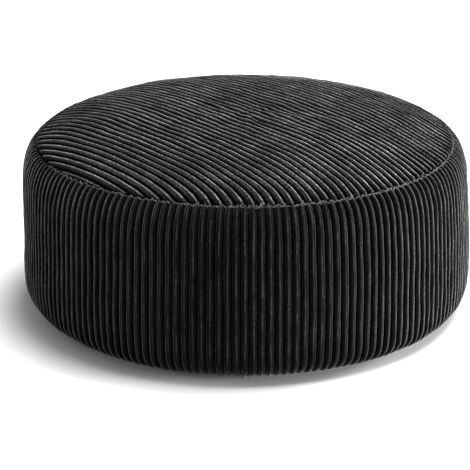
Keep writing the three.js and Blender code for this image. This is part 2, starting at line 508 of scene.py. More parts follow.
@dataclass(frozen=True)
class Filling:
    """The stuffing: a coarse cloth bag, drawn in between its seams and blown up again by Blender's Cloth.

    The outline already is the filled bag's, so only the unevenness of the blown bag is kept: how far
    each point ends from the mean of its row, along the outward normal, within the cap.

    Attributes:
        body: the bag.
        spokes: points round each ring.
        rings: rings on the top, and on the side.
        first_ring: radius of the innermost ring.
        floor_rings: size of the two rings on the floor, as shares of the flat base.
        seed: start of the random draws of how unevenly the cloth is drawn in.
        drawn_in: how far the cloth starts inside the outline, away from the seams.
        fullness: power of the sine that says how that depth grows from a seam.
        uneven: how strongly it drifts from place to place, as a share of it.
        drift: usual wavelengths of that drift, round and down.
        pressure: pressure of the filling on the cloth.
        frames: how long it is blown.
        quality: steps of the simulation in a frame.
        held: how free a ring has to be, or it is pinned.
        stiffness: stiffness of the cloth when it is stretched or squeezed.
        bending: its stiffness when it is bent.
        cap: most that a point keeps of the unevenness.
        shortest: length of the shortest waves kept.
        calm_middle: radius within which the unevenness fades, at the middle of the top.
        taut: share of the unevenness kept on the side, which its upright cords hold straight.
        tautens: from where to where, seen from the top seam, the cloth gets as taut as that.
        smoothing: how many times each ring is averaged with its neighbours.
    """

    body: Body
    spokes: int = 120
    rings: int = 25
    first_ring: float = 20 * MM
    floor_rings: Tuple[float, float] = (0.66, 0.33)
    seed: int = 36
    drawn_in: float = 8 * MM
    fullness: float = 0.6
    uneven: float = 0.25
    drift: Tuple[float, float] = (0.26, 0.18)
    pressure: float = 4.0
    frames: int = 20
    quality: int = 6
    held: float = 0.05
    stiffness: float = 40.0
    bending: float = 2.0
    cap: float = 4 * MM
    shortest: float = 150 * MM
    calm_middle: float = 0.2
    taut: float = 0.3
    tautens: Tuple[float, float] = (-40 * MM, 20 * MM)
    smoothing: int = 6

    def rows(self) -> np.ndarray:
        """Lays out the rings.

        Returns:
            Their distances from the middle of the top, with a ring on each seam.
        """
        outline = self.body.outline
        top = np.linspace(self.first_ring, outline.top_seam, self.rings)
        side = np.linspace(outline.top_seam, outline.base_seam, self.rings)[1:]
        return np.concatenate([top, side, [outline.flat_edge]])

    def azimuths(self) -> np.ndarray:
        """Azimuths of the spokes, as one row."""
        return (np.arange(self.spokes) * 2 * math.pi / self.spokes)[None, :]

    def bag(self) -> Tuple[np.ndarray, np.ndarray]:
        """Draws the bag in between its seams, a little unevenly.

        The cloth starts drawn_in * sin(pi * share)^fullness * (1 + uneven * drift) inside the outline.
        The share goes from 0 to 1 between the seams of the side, and from a half, where it stays on
        the inner half of the top, to 1 at the top's own seam.

        Returns:
            Its points, rings x spokes x 3, and for each ring how free it is, from 0 to 1.
        """
        outline = self.body.outline
        s = self.rows()[:, None]
        top = np.clip(s / outline.top_seam, 0.5, 1)
        side = np.clip((s - outline.top_seam) / (outline.base_seam - outline.top_seam), 0, 1)
        free = np.sin(math.pi * np.where(s < outline.top_seam, top, side)) ** self.fullness
        drift = Drift(self.seed, *self.drift, GIRTH).at(self.azimuths() * HALF_WIDTH, s)
        lift = -self.drawn_in * free * (1 + self.uneven * drift)
        return self.body.place(s, self.azimuths(), lift), free

    def closed_mesh(self, start: np.ndarray) -> bpy.types.Mesh:
        """Closes the bag.

        Args:
            start: its points, rings x spokes x 3.

        Returns:
            A mesh of its rings, two more rings on the floor, and the middles of top and floor.
        """
        floor = start[-1][None] * np.array(self.floor_rings)[:, None, None]
        lattice = np.concatenate([start, floor])
        unused = np.zeros((len(lattice), self.spokes + 1))
        maker = MeshMaker("filling")
        maker.add_round(Sheet(lattice, unused[0], unused, True), start[0, :, 2].max(), 0.0)
        return maker.mesh()

    def blow_up(self, mesh: bpy.types.Mesh, pinned: np.ndarray) -> np.ndarray:
        """Runs Cloth on the mesh and removes it again.

        Args:
            mesh: the closed bag.
            pinned: whether each point stays where it is.

        Returns:
            Where its points end, n x 3.
        """
        scene = bpy.context.scene
        made = bpy.data.objects.new("filling", mesh)
        scene.collection.objects.link(made)
        pins = made.vertex_groups.new(name="pins")
        pins.add(np.flatnonzero(pinned).tolist(), 1.0, "REPLACE")
        cloth = made.modifiers.new("cloth", "CLOTH")
        settings = cloth.settings
        settings.vertex_group_mass = pins.name
        settings.use_pressure = True
        settings.uniform_pressure_force = self.pressure
        settings.effector_weights.gravity = 0.0
        settings.quality = self.quality
        settings.tension_stiffness = self.stiffness
        settings.compression_stiffness = self.stiffness
        settings.bending_stiffness = self.bending
        cloth.point_cache.frame_start, cloth.point_cache.frame_end = 1, self.frames
        for number in range(1, self.frames + 1):
            scene.frame_set(number)
        blown = made.evaluated_get(bpy.context.evaluated_depsgraph_get()).to_mesh()
        ends = np.empty(len(pinned) * 3)
        blown.vertices.foreach_get("co", ends)
        scene.frame_set(1)
        bpy.data.objects.remove(made)
        bpy.data.meshes.remove(mesh)
        return ends.reshape(-1, 3)

    def even_out(self, lift: np.ndarray) -> np.ndarray:
        """Takes out the waves that are too short, and most of those on the side.

        A ring of radius r holds the waves up to number 2 pi r / shortest, the last of them faded.

        Args:
            lift: the lifts, rings x spokes.

        Returns:
            What is left of them.
        """
        radius, _, _ = self.body.outline.at(self.rows())
        most = 2 * math.pi * radius / self.shortest
        waves = np.fft.rfft(lift, axis=1)
        number = np.arange(waves.shape[1])
        kept = np.clip(most[:, None] + 1 - number[None, :], 0, 1)
        kept = kept * np.clip(radius / self.calm_middle, 0, 1)[:, None]
        calm = np.fft.irfft(waves * kept, lift.shape[1], axis=1)
        for _ in range(self.smoothing):
            calm[1:-1] = calm[1:-1] / 2 + (calm[:-2] + calm[2:]) / 4
        seam = self.body.outline.top_seam
        left = np.interp(self.rows(), [seam + place for place in self.tautens], (1.0, self.taut))
        return calm * left[:, None]

    def relief(self) -> Relief:
        """Blows up the bag and measures its unevenness along the outward normal.

        Returns:
            The unevenness, as a lattice over the outline.
        """
        start, free = self.bag()
        rows, spokes = start.shape[:2]
        floor_and_middles = np.concatenate([np.ones(2 * spokes, bool), [False, True]])
        pinned = np.concatenate([np.repeat(free[:, 0] < self.held, spokes), floor_and_middles])
        ends = self.blow_up(self.closed_mesh(start), pinned)[:rows * spokes].reshape(start.shape)
        s, azimuth = self.rows()[:, None], self.azimuths()
        _, _, tilt = self.body.outline.at(s)
        lift = ((ends - self.body.place(s, azimuth, np.zeros(1))) * outward(tilt, azimuth)).sum(-1)
        uneven = self.even_out(lift - lift.mean(axis=1, keepdims=True))
        log.info("filling: moved the cloth by %.1f mm on average, left it uneven by %.2f mm",
                 np.linalg.norm(ends - start, axis=-1).mean() / MM, uneven.std() / MM)
        return Relief(self.rows(), np.clip(uneven, -self.cap, self.cap))


# Pile and seams


@dataclass(frozen=True)
class Wale:
    """The cross section of one cord of pile, from groove to groove.

    At x from -1 to 1 across the cord, the pile stands depth * (1 - |x|^fullness)^roundness above
    the groove.

    Attributes:
        depth: height of the pile.
        fullness: how square the cord is.
        roundness: how steeply its sides rise.
        groove: half width of the bare groove, as a share of half the cord.
        wall: width of the wall beside it, as a share of half the cord.
        inner: stations on the pile, between the walls.
        uneven: share of its height by which the pile drifts.
        limits: least and most that the drift makes of the height.
    """

    depth: float = 7.4 * MM
    fullness: float = 2.8
    roundness: float = 0.52
    groove: float = 0.08
    wall: float = 0.1
    inner: Tuple[float, ...] = (-0.55, -0.2, 0.2, 0.55)
    uneven: float = 0.05
    limits: Tuple[float, float] = (0.7, 1.15)

    def stations(self) -> np.ndarray:
        """Places across one cord: the middle of the groove, the foot and the top of the wall, the crown."""
        foot, top = 1 - self.groove, 1 - self.groove - self.wall
        return np.array([-1.0, -foot, -top, *self.inner, top, foot])

    def rise(self) -> np.ndarray:
        """Height of the pile above the groove at the stations, as a share of the depth."""
        x = np.clip(np.abs(self.stations()) / (1 - self.groove), 0, 1)
        return (1 - x ** self.fullness) ** self.roundness

    def kinds(self) -> np.ndarray:
        """The finish of the strip after each station: 1, the black finish, in the groove and up its walls,
        where it is painted shade; 0 on the pile.
        """
        return np.array([1, 1, *[0] * (len(self.inner) + 1), 1, 1])

    def lift(self, share: np.ndarray, drift: np.ndarray) -> np.ndarray:
        """Lift over the outline, which runs along the tips: depth * (share * (1 + uneven * drift) - 1)."""
        return self.depth * (share * np.clip(1 + self.uneven * drift, *self.limits) - 1)


@dataclass(frozen=True)
class Pinch:
    """How the cloth dives into a seam.

    Attributes:
        depth: how deep the seam lies under the outline.
        reach: distance over which the cloth goes down to it.
        taper: distance over which the cords round off.
    """

    depth: float
    reach: float
    taper: float

    def drop(self, distance: np.ndarray) -> np.ndarray:
        """Depth of the cloth under the outline, at a distance from the seam: it grows as a square."""
        share = np.clip(1 - distance / self.reach, 0, 1)
        return self.depth * share * share

    def round_off(self, distance: np.ndarray) -> np.ndarray:
        """Share of the cord's height left at a distance from the seam: a quarter ellipse."""
        share = np.clip(1 - distance / self.taper, 0, 1)
        return np.sqrt(np.maximum(0, 1 - share * share))


# Finishes


class Pen:
    """Writes the nodes of one material."""

    def __init__(self, name: str) -> None:
        """Starts a material with a Principled shader.

        Args:
            name: what the material is called.
        """
        self.material = bpy.data.materials.new(name)
        self.material.use_nodes = True
        self.tree = self.material.node_tree
        self.shader = self.tree.nodes["Principled BSDF"]

    def put(self, target: Socket, value: Value) -> None:
        """Links a socket to the target, or sets the target's own value.

        Args:
            target: the input.
            value: the output that drives it, or its value.
        """
        if isinstance(value, Socket):
            self.tree.links.new(value, target)
        else:
            target.default_value = value

    def node(self, kind: str, inputs: Dict[Union[int, str], Value]) -> bpy.types.Node:
        """Adds a node.

        Args:
            kind: its type.
            inputs: what its inputs are linked or set to, by name or number.

        Returns:
            The node.
        """
        made = self.tree.nodes.new(kind)
        for key, value in inputs.items():
            self.put(made.inputs[key], value)
        return made

    def math(self, kind: str, *values: Grey) -> Socket:
        """The result of a Math node of that kind on the values."""
        node = self.node("ShaderNodeMath", dict(enumerate(values)))
        node.operation = kind
        return node.outputs[0]

    def product(self, first: Grey, *others: Grey) -> Grey:
        """The values multiplied."""
        for value in others:
            first = self.math("MULTIPLY", first, value)
        return first

    def away(self, value: Grey, middle: Grey) -> Socket:
        """How far a value is from a middle, on either side."""
        return self.math("ABSOLUTE", self.math("SUBTRACT", value, middle))

    def band(self, value: Socket, low: float, high: float, out_low: float = 0.0,
             out_high: float = 1.0) -> Socket:
        """A smooth step between two values.

        Args:
            value: what is read.
            low: where the step starts.
            high: where it ends.
            out_low: result up to its start.
            out_high: result from its end.

        Returns:
            The result.
        """
        names = ("Value", "From Min", "From Max", "To Min", "To Max")
        node = self.node("ShaderNodeMapRange", dict(zip(names, (value, low, high, out_low, out_high))))
        node.interpolation_type = "SMOOTHSTEP"
        return node.outputs["Result"]

    def noise(self, vector: Socket, scale: float, detail: float = 2.0, roughness: float = 0.5) -> Socket:
        """The grey of a Noise texture, with its scale, detail and roughness."""
        inputs = {"Vector": vector, "Scale": scale, "Detail": detail, "Roughness": roughness}
        return self.node("ShaderNodeTexNoise", inputs).outputs["Fac"]

    def stretch(self, vector: Socket, scale: Point, shift: Point = (0, 0, 0)) -> Socket:
        """A vector scaled, then shifted."""
        inputs = {"Vector": vector, "Scale": scale, "Location": shift}
        return self.node("ShaderNodeMapping", inputs).outputs["Vector"]

    def mix(self, share: Grey, first: Union[Socket, Colour], second: Union[Socket, Colour]) -> Socket:
        """Mixes two colours. The node's colour sockets are taken by number, because their names repeat.

        Args:
            share: how much of the second there is, from 0 to 1.
            first: a colour.
            second: another.

        Returns:
            The mixed colour.
        """
        node = self.tree.nodes.new("ShaderNodeMix")
        node.data_type = "RGBA"
        self.put(node.inputs["Factor"], share)
        for socket, value in ((node.inputs[6], first), (node.inputs[7], second)):
            self.put(socket, value if isinstance(value, Socket) else (*value, 1.0))
        return node.outputs[2]

    def bump(self, height: Socket, strength: float, distance: float,
             under: Optional[Socket] = None) -> Socket:
        """Raises a pattern on the surface.

        Args:
            height: the pattern.
            strength: how strongly it shows.
            distance: how high it stands, in metres.
            under: the normal of another pattern that this one stands on, or None.

        Returns:
            The normal.
        """
        inputs = {"Height": height, "Strength": strength, "Distance": distance}
        if under is not None:
            inputs["Normal"] = under
        return self.node("ShaderNodeBump", inputs).outputs["Normal"]

    def axes(self, vector: Socket) -> Tuple[Socket, Socket]:
        """The first two parts of a vector."""
        split = self.node("ShaderNodeSeparateXYZ", {0: vector})
        return split.outputs["X"], split.outputs["Y"]

    def cloth(self) -> Tuple[Socket, Socket, Socket]:
        """The cloth coordinates: the vector, the cord number across, and the metres along."""
        node = self.tree.nodes.new("ShaderNodeUVMap")
        node.uv_map = "cloth"
        return (node.outputs["UV"], *self.axes(node.outputs["UV"]))

    def place(self) -> Socket:
        """Object coordinates."""
        return self.tree.nodes.new("ShaderNodeTexCoord").outputs["Object"]

    def dress(self, inputs: Dict[str, Value]) -> bpy.types.Material:
        """Links or sets the shader's inputs by name. Returns the finished material."""
        for name, value in inputs.items():
            self.put(self.shader.inputs[name], value)
        return self.material


@dataclass(frozen=True)
class Grain:
    """A kind of noise in the pile.

    Attributes:
        edge: values of the noise between which the pile goes from dark to bright.
        detail: detail of the noise.
        roughness: its roughness.
        shift: moves it, so that it doesn't fall in with another.
    """

    edge: Tuple[float, float]
    detail: float
    roughness: float = 0.5
    shift: Point = (0, 0, 0)


TUFTS = Grain((0.46, 0.52), 1.5)
STREAKS = Grain((0.35, 0.65), 1.0, shift=(3.1, 1.7, 0))
CLUMPS = Grain((0.4, 0.58), 2.0, 0.6, (0.7, 0.3, 0))
PATCHES = Grain((0.35, 0.65), 3.0, 0.6)

# Values between which most of a noise lies

MOST_NOISE = (0.3, 0.7)


@dataclass(frozen=True)
class Mottle:
    """Dark spots of one grain in the pile.

    Attributes:
        grain: their kind of noise.
        width: their width, in metres.
        aspect: that width as a share of their length along the cord.
        left: brightness left in the dark.
    """

    grain: Grain
    width: float
    aspect: float
    left: float

    def noise(self, pen: Pen, metric: Socket) -> Socket:
        """The noise, over coordinates in metres."""
        vector = pen.stretch(metric, (1.0, self.aspect, 1.0), self.grain.shift)
        return pen.noise(vector, 1 / self.width, self.grain.detail, self.grain.roughness)

    def shade(self, pen: Pen, noise: Socket) -> Socket:
        """Brightness of the pile by that noise."""
        return pen.band(noise, *self.grain.edge, self.left, 1.0)


@dataclass(frozen=True)
class PaintedFrontLight:
    """Painted light at the front of a panel: the ridge of painted highlight moves over, the painted groove
    shade draws back, and the near flank gets a painted highlight.

    Attributes:
        start: the bag's Y up to which this painted light is full.
        end: the bag's Y from which there is none of it.
        painted_ridge_at: place of the ridge of painted highlight there, from -1 to 1 across the cord.
        groove: how far the painted groove shade draws back there, as a share of the half width.
        flank: brightness of the painted highlight on the near flank there, as a share of the ridge's.
        flank_at: place of that brightness on the cord, from -1 to 1.
        flank_wide: its half width, as a share of the cord's.
        seam_shade: share of the flank's brightness left near the seam, where it is painted shade.
        seam_shade_reach: distances from the seam between which it comes back.
    """

    start: float
    end: float
    painted_ridge_at: float
    groove: float
    flank: float
    flank_at: float
    flank_wide: float
    seam_shade: float
    seam_shade_reach: Tuple[float, float]


@dataclass(frozen=True)
class CordFinish:
    """Cut pile corduroy: dark cords of speckled pile with black grooves and a soft sheen, a ridge of
    painted highlight along each cord, and painted shade towards its grooves, near the top seam and at the
    foot.

    Attributes:
        name: the material's name.
        dark: colour deep in the pile.
        light: colour of the tips.
        pitch: width of a cord, in metres.
        sheen: how strongly the pile's tips catch the light at a grazing view.
        sheen_roughness: spread of that sheen.
        tufts: the tufts, dark in the pits between them.
        streaks: the brushed streaks along the cord.
        clumps: the clumps of tufts.
        patches: the brushed patches, over the whole bag.
        speckle: strength of the bump of the tufts.
        groove: where the painted shade of the groove starts, as a share of the half width.
        slope: over what share of the half width it deepens.
        fall: over what share of the half width the painted highlight fades beside the ridge.
        body: brightness of the rest of the cord, as a share of the ridge's.
        painted_ridge_at: place of the ridge of painted highlight, from -1 to 1 across the cord.
        seam_shade: painted shade at the seam: the brightness of the cloth there, and the distance from it
            where it is full again.
        foot: painted shade where the band curls under: the brightness of the pile there.
        round_cords: how many cords lie across a round panel, or 0 on the band.
        swing: painted light at the front of a panel, or None.
        sheen_tint: colour of the sheen.
        ragged: how far the ridge's edge strays from tuft to tuft.
        seam_shade_start: distance from the seam where the painted seam shade starts to lift.
        curl: distances down the outline between which the painted shade darkens the band to its foot's
            brightness.
        groove_shade: colour of the painted shade towards the groove.
        tuft_height: height of the bump of the tufts.
        streak_bump: strength and height of the bump of the streaks.
        rough: roughness of the darkest and of the brightest tufts.
        gloss: how strongly the pile reflects.
    """

    name: str
    dark: Colour
    light: Colour
    pitch: float
    sheen: float
    sheen_roughness: float
    tufts: Mottle
    streaks: Mottle
    clumps: Mottle
    patches: Mottle
    speckle: float
    groove: float
    slope: float
    fall: float
    body: float
    painted_ridge_at: float
    seam_shade: Tuple[float, float] = (1.0, 20 * MM)
    foot: float = 1.0
    round_cords: int = 0
    swing: Optional[PaintedFrontLight] = None
    sheen_tint: Colour = (0.9, 0.9, 0.91)
    ragged: float = 0.5
    seam_shade_start: float = 3 * MM
    curl: Tuple[float, float] = (760 * MM, 830 * MM)
    groove_shade: Colour = (0.001, 0.001, 0.001)
    tuft_height: float = 1.5 * MM
    streak_bump: Tuple[float, float] = (0.35, 1.2 * MM)
    rough: Tuple[float, float] = (0.95, 0.75)
    gloss: float = 0.02

    def from_seam(self, pen: Pen, across: Socket, along: Socket) -> Socket:
        """Distance from the top seam.

        On the band it is the distance down the outline less the seam's. On a round panel it is the
        seam's distance less the length of the place on the flat cloth.

        Args:
            pen: the material's pen.
            across: the cord number across.
            along: the metres along.

        Returns:
            The distance in metres.
        """
        if not self.round_cords:
            return pen.math("SUBTRACT", along, TOP_SEAM)
        aside = pen.product(pen.math("SUBTRACT", across, self.round_cords / 2), self.pitch)
        square = pen.math("ADD", pen.product(aside, aside), pen.product(along, along))
        return pen.math("SUBTRACT", TOP_SEAM, pen.math("SQRT", square))

    def painted_light_and_shade(self, pen: Pen, place: Socket, inward: Socket, tufts: Socket) -> Tuple[Socket, Socket]:
        """Painted light and shade across the cord: a ridge of painted highlight along it, and painted shade
        towards its groove.

        The painted ridge fades on both sides of its place, and its edge is ragged from tuft to tuft. The
        pile beside it is as bright as the body, or at the front as the painted highlight on the near flank,
        under painted shade near the seam.

        Args:
            pen: the material's pen.
            place: the place across the cord, from -1 to 1.
            inward: distance from the top seam.
            tufts: the noise of the tufts.

        Returns:
            Brightness of the pile with its painted highlight, and depth of the painted groove shade, each
            from 0 to 1.
        """
        ridge: Grey = self.painted_ridge_at
        beside: Grey = self.body
        from_middle = pen.math("ABSOLUTE", place)
        # painted light at the front: the painted ridge moves over, the painted groove shade draws back and
        # the near flank gets a painted highlight, under painted shade near the seam
        if self.swing is not None:
            swing = self.swing
            front = (pen.axes(pen.place())[1], swing.start, swing.end)
            ridge = pen.band(*front, swing.painted_ridge_at, self.painted_ridge_at)
            from_middle = pen.math("SUBTRACT", from_middle, pen.band(*front, swing.groove, 0.0))
            flank = pen.band(pen.away(place, swing.flank_at), 0.0, swing.flank_wide, 1.0, 0.0)
            flank = pen.product(flank, pen.band(*front, swing.flank, 0.0))
            seam_shade = pen.band(inward, *swing.seam_shade_reach, swing.seam_shade, 1.0)
            beside = pen.product(pen.math("MAXIMUM", flank, self.body), seam_shade)
        ragged = pen.math("MULTIPLY_ADD", pen.math("ADD", tufts, -0.5), self.ragged, pen.away(place, ridge))
        bright = pen.math("MAXIMUM", pen.band(ragged, 0.0, self.fall, 1.0, 0.0), beside)
        return bright, pen.band(from_middle, self.groove, self.groove + self.slope)

    def make(self) -> bpy.types.Material:
        """Writes the nodes: the brightness of the tips is a product of the painted highlight ridge, the
        noises, the painted shade near the seam and the painted shade at the foot.

        Returns:
            The material.
        """
        pen = Pen(self.name)
        vector, across, along = pen.cloth()
        metric = pen.stretch(vector, (self.pitch, 1.0, 1.0))
        tufts = self.tufts.noise(pen, metric)
        streaks = self.streaks.noise(pen, metric)
        inward = self.from_seam(pen, across, along)
        place = pen.math("MULTIPLY_ADD", pen.math("FRACT", across), 2.0, -1.0)
        # painted highlight along each cord's ridge, and painted shade towards its groove
        bright, groove = self.painted_light_and_shade(pen, place, inward, tufts)
        share = pen.product(
            bright,
            self.tufts.shade(pen, tufts),
            self.streaks.shade(pen, streaks),
            self.clumps.shade(pen, self.clumps.noise(pen, metric)),
            self.patches.shade(pen, self.patches.noise(pen, pen.place())),
            # painted shade: the cloth darker near the top seam
            pen.band(inward, self.seam_shade_start, self.seam_shade[1], self.seam_shade[0], 1.0),
            # painted shade: the band darker where it curls under at the foot
            pen.band(along, *self.curl, 1.0, self.foot),
        )
        return pen.dress({
            # the tips mixed into the painted shade towards the groove
            "Base Color": pen.mix(groove, pen.mix(share, self.dark, self.light), self.groove_shade),
            "Normal": pen.bump(tufts, self.speckle, self.tuft_height, pen.bump(streaks, *self.streak_bump)),
            "Roughness": pen.band(tufts, *MOST_NOISE, *self.rough),
            "Specular IOR Level": self.gloss,
            "Sheen Weight": self.sheen,
            "Sheen Roughness": self.sheen_roughness,
            "Sheen Tint": (*self.sheen_tint, 1.0),
        })


@dataclass(frozen=True)
class GrooveAndShadeFinish:
    """The cloth between two cords: black weave with no pile on it, also laid as painted shade on the cords'
    walls and at the top seam.

    Attributes:
        name: what the material is called.
        dark: its colour between the threads.
        light: its colour on the threads.
        thread: width of a thread.
        edge: values of the noise between which it goes from dark to light.
        bump: strength and height of the threads.
        rough: roughness between the threads and on them.
    """

    name: str = "black_groove_and_painted_shade"
    dark: Colour = (0.0006, 0.0006, 0.0006)
    light: Colour = (0.004, 0.004, 0.0041)
    thread: float = 1.6 * MM
    edge: Tuple[float, float] = (0.35, 0.7)
    bump: Tuple[float, float] = (0.4, 0.6 * MM)
    rough: Tuple[float, float] = (0.98, 0.85)

    def make(self) -> bpy.types.Material:
        """Writes the nodes once, for both covers.

        Returns:
            The material.
        """
        found = bpy.data.materials.get(self.name)
        if found is not None:
            return found
        pen = Pen(self.name)
        vector, _, _ = pen.cloth()
        threads = pen.noise(pen.stretch(vector, (SIDE_PITCH, 1.0, 1.0)), 1 / self.thread)
        return pen.dress({
            "Base Color": pen.mix(pen.band(threads, *self.edge), self.dark, self.light),
            "Normal": pen.bump(threads, *self.bump),
            "Roughness": pen.band(threads, *MOST_NOISE, *self.rough),
            "Specular IOR Level": 0.0,
        })


@dataclass(frozen=True)
class WovenFinish:
    """Plain woven upholstery cloth: threads over and under each other.

    Attributes:
        name: what the material is called.
        thread: width of a thread.
        dark: its colour where a thread goes under.
        light: its colour where a thread lies on top.
        patches: how many patches there are to a metre, and the detail of their noise.
        worn: share of the light left in the darkest and in the lightest patches.
        bump: strength and height of the threads.
        rough: roughness of the darkest and of the lightest patches.
        sheen: how strongly it catches the light at a grazing view.
        gloss: how strongly it reflects.
    """

    name: str = "plain_woven_base_cloth"
    thread: float = 0.9 * MM
    dark: Colour = (0.004, 0.004, 0.0042)
    light: Colour = (0.022, 0.022, 0.023)
    patches: Tuple[float, float] = (30.0, 3.0)
    worn: Tuple[float, float] = (0.5, 1.0)
    bump: Tuple[float, float] = (0.5, 0.4 * MM)
    rough: Tuple[float, float] = (0.8, 0.95)
    sheen: float = 0.15
    gloss: float = 0.2

    def make(self) -> bpy.types.Material:
        """Writes the nodes: the weave is the product of two sine waves, lighter and darker in patches.

        Returns:
            The material.
        """
        pen = Pen(self.name)
        place = pen.place()
        waves = [pen.math("SINE", pen.product(axis, math.pi / self.thread)) for axis in pen.axes(place)]
        weave = pen.math("MULTIPLY_ADD", pen.product(*waves), 0.5, 0.5)
        patches = pen.noise(place, *self.patches)
        share = pen.product(weave, pen.band(patches, *MOST_NOISE, *self.worn))
        return pen.dress({
            "Base Color": pen.mix(share, self.dark, self.light),
            "Normal": pen.bump(weave, *self.bump),
            "Roughness": pen.band(patches, *MOST_NOISE, *self.rough),
            "Sheen Weight": self.sheen,
            "Specular IOR Level": self.gloss,
        })


@dataclass(frozen=True)
class TuftFinish:
    """Loose pile at the seam: black fibres with a painted highlight, grey at their tips, that fades towards
    their roots.

    Attributes:
        name: what the material is called.
        root: colour of the roots.
        tip: colour of the tips, a painted highlight.
        faint: share of the painted highlight left in the weakest tufts.
        rough: roughness of the fibres.
        sheen: how strongly they catch the light at a grazing view.
        gloss: how strongly they reflect.
    """

    name: str = "seam_pile"
    root: Colour = (0.01, 0.01, 0.0105)
    tip: Colour = (0.38, 0.38, 0.385)
    faint: float = 0.45
    rough: float = 0.9
    sheen: float = 0.5
    gloss: float = 0.15

    def make(self) -> bpy.types.Material:
        """Writes the nodes: the painted highlight grows along the second cloth coordinate, and its strength
        is the first.

        Returns:
            The material.
        """
        pen = Pen(self.name)
        _, strength, along = pen.cloth()
        # painted highlight: grey towards the tips of the black fibres
        grey = pen.product(pen.band(along, 0.0, 1.0), pen.band(strength, 0.0, 1.0, self.faint, 1.0))
        return pen.dress({
            "Base Color": pen.mix(grey, self.root, self.tip),
            "Roughness": self.rough,
            "Sheen Weight": self.sheen,
            "Specular IOR Level": self.gloss,
        })


# lit copy of the cord: its tips are painted far lighter than the side's, painted light from above; top and
# side are lit and shaded copies of one cloth
LIT_TOP_CORD = CordFinish(
    name="charcoal_cord_top_painted_lit", dark=(0.0015, 0.0015, 0.0016), light=(0.51, 0.51, 0.513), pitch=TOP_PITCH,
    sheen=0.5, sheen_roughness=0.12,
    tufts=Mottle(TUFTS, 3.4 * MM, 0.9, 0.3), streaks=Mottle(STREAKS, 3.4 * MM, 3.4 / 70, 0.65),
    clumps=Mottle(CLUMPS, 4.5 * MM, 0.7, 0.4), patches=Mottle(PATCHES, 1 / 14, 1.0, 0.6), speckle=1.0,
    groove=0.36, slope=0.34, fall=0.46, body=0.16, painted_ridge_at=-0.3, seam_shade=(0.4, 22 * MM), round_cords=TOP_CORDS,
    swing=PaintedFrontLight(start=-0.4, end=-0.15, painted_ridge_at=-0.52, groove=0.11, flank=0.23, flank_at=0.3, flank_wide=0.45,
              seam_shade=0.35, seam_shade_reach=(5 * MM, 65 * MM)),
)
# shaded copy of the same cord: its tips are painted far darker than the top's, and its foot is darker by
# painted shade
SHADED_SIDE_CORD = CordFinish(
    name="charcoal_cord_side_painted_shade", dark=(0.0012, 0.0012, 0.0013), light=(0.06, 0.06, 0.061), pitch=SIDE_PITCH,
    sheen=0.4, sheen_roughness=0.3,
    tufts=Mottle(TUFTS, 3.4 * MM, 0.6, 0.35), streaks=Mottle(STREAKS, 2.6 * MM, 2.6 / 50, 0.3),
    clumps=Mottle(CLUMPS, 6 * MM, 0.7, 0.75), patches=Mottle(PATCHES, 1 / 20, 1.0, 0.7), speckle=0.8,
    groove=0.66, slope=0.18, fall=0.38, body=0.1, painted_ridge_at=0.05, foot=0.2,
)


# The covers


@dataclass(frozen=True)
class CordCover:
    """What the two covers of cords have in common.

    Attributes:
        body: the bag.
        wale: cross section of a cord.
        straying: how the cords' straying sideways drifts over the cloth.
        calm: distance from a seam within which they stray less.
        unevenness: how the height of the pile drifts.
        wander: how far the cords stray.
        pinch: how the cloth dives into the top seam.
        sink: how far the cloth may lie under that seam's depth.
    """

    body: Body
    wale: Wale
    straying: Drift
    calm: float
    unevenness: Drift
    wander: float = 0.3 * MM
    pinch: Pinch = Pinch(5 * MM, 9 * MM, 4 * MM)
    sink: float = 2 * MM

    def stray(self, across: np.ndarray, along: np.ndarray, distance: np.ndarray) -> np.ndarray:
        """How far the cords stray sideways at places on the cloth, less within calm of a seam."""
        return self.wander * self.straying.at(across, along) * np.clip(distance / self.calm, 0, 1)


